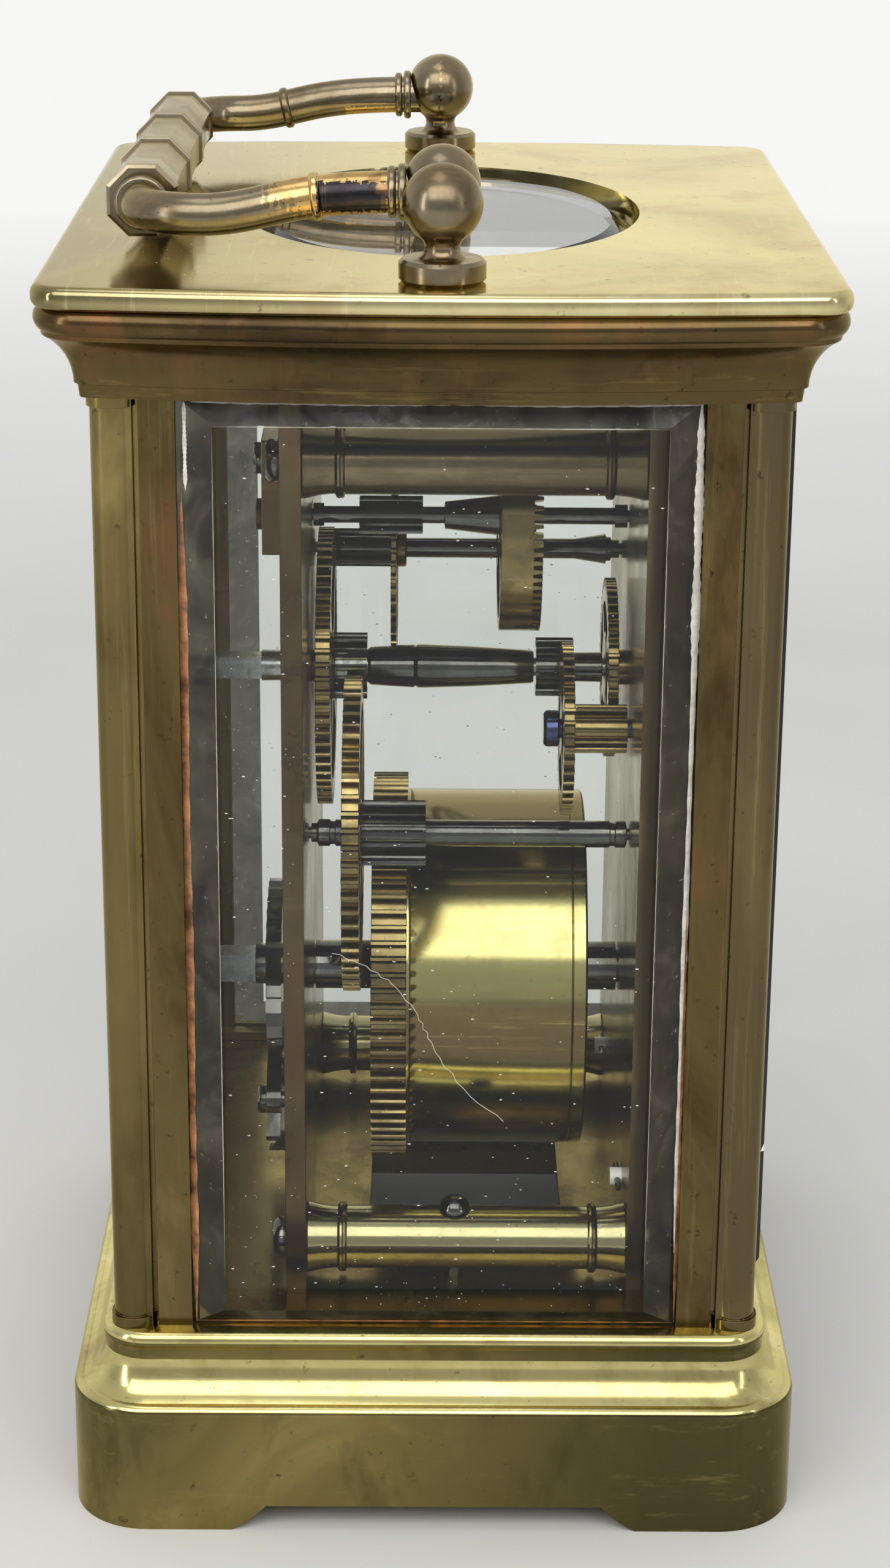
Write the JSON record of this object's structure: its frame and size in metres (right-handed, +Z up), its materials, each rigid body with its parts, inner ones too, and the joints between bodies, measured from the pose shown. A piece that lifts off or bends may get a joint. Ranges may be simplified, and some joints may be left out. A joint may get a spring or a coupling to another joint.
{
  "type": "carriage clock",
  "caption": "Glazed brass carriage clock with folding handle, oval top window and its full going train in view.",
  "frame": {"origin": "middle of the plinth's underside", "axes": "+Z up, -Y toward the dial, +X toward the clock's right side as seen from the dial"},
  "size_m": [0.084, 0.067, 0.1252],
  "materials": {
    "polished_brass": "polished, aged",
    "case_brass": "tarnished",
    "top_brass": "rubbed",
    "plate_brass": "lacquered, dull",
    "wheel_brass": "satin",
    "handle_bronze": "dark, worn",
    "steel": "dark polished",
    "blued_steel": "blued",
    "glass": "clear bevelled",
    "enamel": "gloss white"
  },
  "bodies": {
    "case": {"base_plinth": "polished_brass", "base_floor": "plate_brass", "post_front_left": "case_brass", "post_front_right": "case_brass", "post_rear_left": "case_brass", "post_rear_right": "case_brass", "post_screws": "steel", "cornice_frame": "case_brass", "top_plate": "top_brass", "top_glass": "glass", "top_glass_ring": "case_brass", "side_glass_left": "glass", "side_glass_right": "glass", "front_glass": "glass", "handle_post_left": "handle_bronze", "handle_post_right": "handle_bronze", "back_plate": "plate_brass", "front_plate": "plate_brass", "upper_pillars": "plate_brass", "lower_pillars": "plate_brass", "pillar_screws": "steel", "holding_screws": "steel", "contrate_cock": "plate_brass", "movement_screws": "steel", "click_spring": "steel", "minute_stud": "blued_steel", "dial": "enamel", "dial_pins": "steel", "platform_plate": "plate_brass", "balance_cock": "plate_brass"},
    "handle": {"handle_arm_left": "handle_bronze", "handle_arm_right": "handle_bronze", "handle_grip": "handle_bronze"},
    "door": {"door_frame": "case_brass", "door_glass": "glass", "door_knob": "case_brass"},
    "barrel": {"barrel_drum": "wheel_brass", "barrel_cover": "wheel_brass", "mainspring": "blued_steel"},
    "winding": {"barrel_arbor": "steel", "ratchet_wheel": "steel"},
    "click_body": {"click": "steel"},
    "intermediate": {"intermediate_arbor": "steel", "intermediate_wheel": "wheel_brass"},
    "centre": {"centre_arbor": "steel", "centre_wheel": "wheel_brass", "hand_set_arbor": "steel", "cannon_pinion": "steel", "minute_hand": "blued_steel"},
    "minute": {"minute_wheel": "wheel_brass"},
    "hour": {"hour_wheel": "wheel_brass", "hour_hand": "blued_steel"},
    "third": {"third_arbor": "steel", "third_wheel": "wheel_brass"},
    "contrate": {"contrate_arbor": "steel", "contrate_wheel": "wheel_brass"},
    "escape": {"escape_wheel": "wheel_brass"},
    "lever_body": {"lever": "steel"},
    "balance_body": {"balance": "wheel_brass", "hairspring": "blued_steel"}
  },
  "joints": [
    {"name": "handle_fold", "type": "hinge", "parent": "case", "child": "handle", "pos_m": [0, 0, 0.1213], "axis": [1, 0, 0], "range_deg": [0, 189]},
    {"name": "door_swing", "type": "hinge", "parent": "case", "child": "door", "pos_m": [-0.0272, 0.0277, 0.062], "axis": [0, 0, 1], "range_deg": [0, 95]},
    {"name": "third_turn", "type": "hinge", "parent": "case", "child": "third", "pos_m": [0.01176, 0, 0.07965], "axis": [0, 1, 0], "continuous": true},
    {"name": "barrel_turn", "type": "hinge", "parent": "case", "child": "barrel", "pos_m": [0, 0, 0.04005], "axis": [0, 1, 0], "continuous": true},
    {"name": "intermediate_turn", "type": "hinge", "parent": "case", "child": "intermediate", "pos_m": [-0.0115, 0, 0.05819], "axis": [0, 1, 0], "continuous": true},
    {"name": "centre_turn", "type": "hinge", "parent": "case", "child": "centre", "pos_m": [0, 0, 0.07109], "axis": [0, 1, 0], "continuous": true},
    {"name": "contrate_turn", "type": "hinge", "parent": "case", "child": "contrate", "pos_m": [0, 0, 0.08607], "axis": [0, 1, 0], "continuous": true},
    {"name": "minute_turn", "type": "hinge", "parent": "case", "child": "minute", "pos_m": [-0.0099, 0, 0.06814], "axis": [0, 1, 0], "continuous": true},
    {"name": "hour_turn", "type": "hinge", "parent": "case", "child": "hour", "pos_m": [0, 0, 0.07109], "axis": [0, 1, 0], "continuous": true},
    {"name": "winding_turn", "type": "hinge", "parent": "case", "child": "winding", "pos_m": [0, 0, 0.04005], "axis": [0, 1, 0], "continuous": true},
    {"name": "click_lift", "type": "hinge", "parent": "case", "child": "click_body", "pos_m": [-0.009, 0, 0.0295], "axis": [0, 1, 0], "range_deg": [0, 12], "stiffness_Nm_per_rad": 0.00002},
    {"name": "escape_turn", "type": "hinge", "parent": "case", "child": "escape", "pos_m": [0, -0.0109, 0.1034], "axis": [0, 0, 1], "continuous": true},
    {"name": "lever_rock", "type": "hinge", "parent": "case", "child": "lever_body", "pos_m": [0, -0.0044, 0.1034], "axis": [0, 0, 1], "range_deg": [-5, 5]},
    {"name": "balance_swing", "type": "hinge", "parent": "case", "child": "balance_body", "pos_m": [0, 0.0034, 0.106], "axis": [0, 0, 1], "range_deg": [-135, 135], "stiffness_Nm_per_rad": 0.0000044}
  ],
  "couplings": [
    {"joint": "barrel_turn", "follows": "third_turn", "ratio": -0.00375},
    {"joint": "intermediate_turn", "follows": "third_turn", "ratio": 0.025},
    {"joint": "centre_turn", "follows": "third_turn", "ratio": -0.125},
    {"joint": "contrate_turn", "follows": "third_turn", "ratio": -7.5},
    {"joint": "minute_turn", "follows": "third_turn", "ratio": 0.041667},
    {"joint": "hour_turn", "follows": "third_turn", "ratio": -0.010417}
  ]
}
